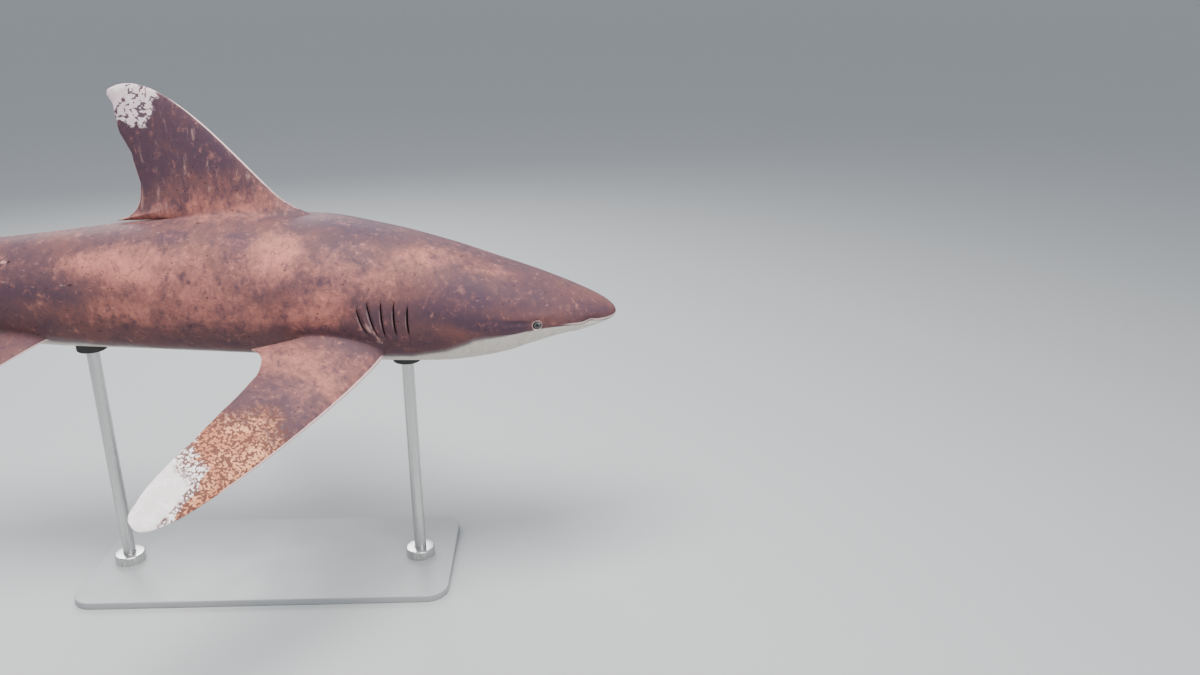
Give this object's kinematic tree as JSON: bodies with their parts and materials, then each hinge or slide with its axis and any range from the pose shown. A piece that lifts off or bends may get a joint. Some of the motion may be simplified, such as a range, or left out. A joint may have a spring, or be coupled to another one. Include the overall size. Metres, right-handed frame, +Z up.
{
  "type": "oceanic whitetip shark model",
  "caption": "Life-size still model of an oceanic whitetip shark swimming, with long white-tipped fins, held on rods over a flat base.",
  "frame": {"origin": "centre of the underside of the stand's base, at floor level, below the shark's balance point", "axes": "+X is the way the shark faces, along the length of the base; +Y is the shark's left; +Z is up, away from the floor"},
  "size_m": [2.173, 1.1244, 1.0724],
  "materials": {
    "skin": "satin bronze-brown painted hide, mottled, white below and at the tips of the large fins",
    "eye": "glossy grey iris with a dark round pupil",
    "stand_paint": "fine matt light grey powder coat",
    "stand_steel": "fine brushed",
    "stand_pad": "matt black rubber"
  },
  "bodies": {
    "root": {"head": "skin", "lower_jaw": "skin", "gill_region": "skin", "trunk": "skin", "tail_stock": "skin", "caudal_upper_lobe": "skin", "caudal_lower_lobe": "skin", "dorsal_fin_first": "skin", "dorsal_fin_second": "skin", "anal_fin": "skin", "pectoral_fin_left": "skin", "pectoral_fin_right": "skin", "pelvic_fin_left": "skin", "pelvic_fin_right": "skin", "eye_left": "eye", "eye_right": "eye", "stand_base": "stand_paint", "stand_rod_front": "stand_steel", "stand_rod_rear": "stand_steel", "stand_collar_front": "stand_steel", "stand_collar_rear": "stand_steel", "stand_pad_front": "stand_pad", "stand_pad_rear": "stand_pad"}
  },
  "joints": []
}
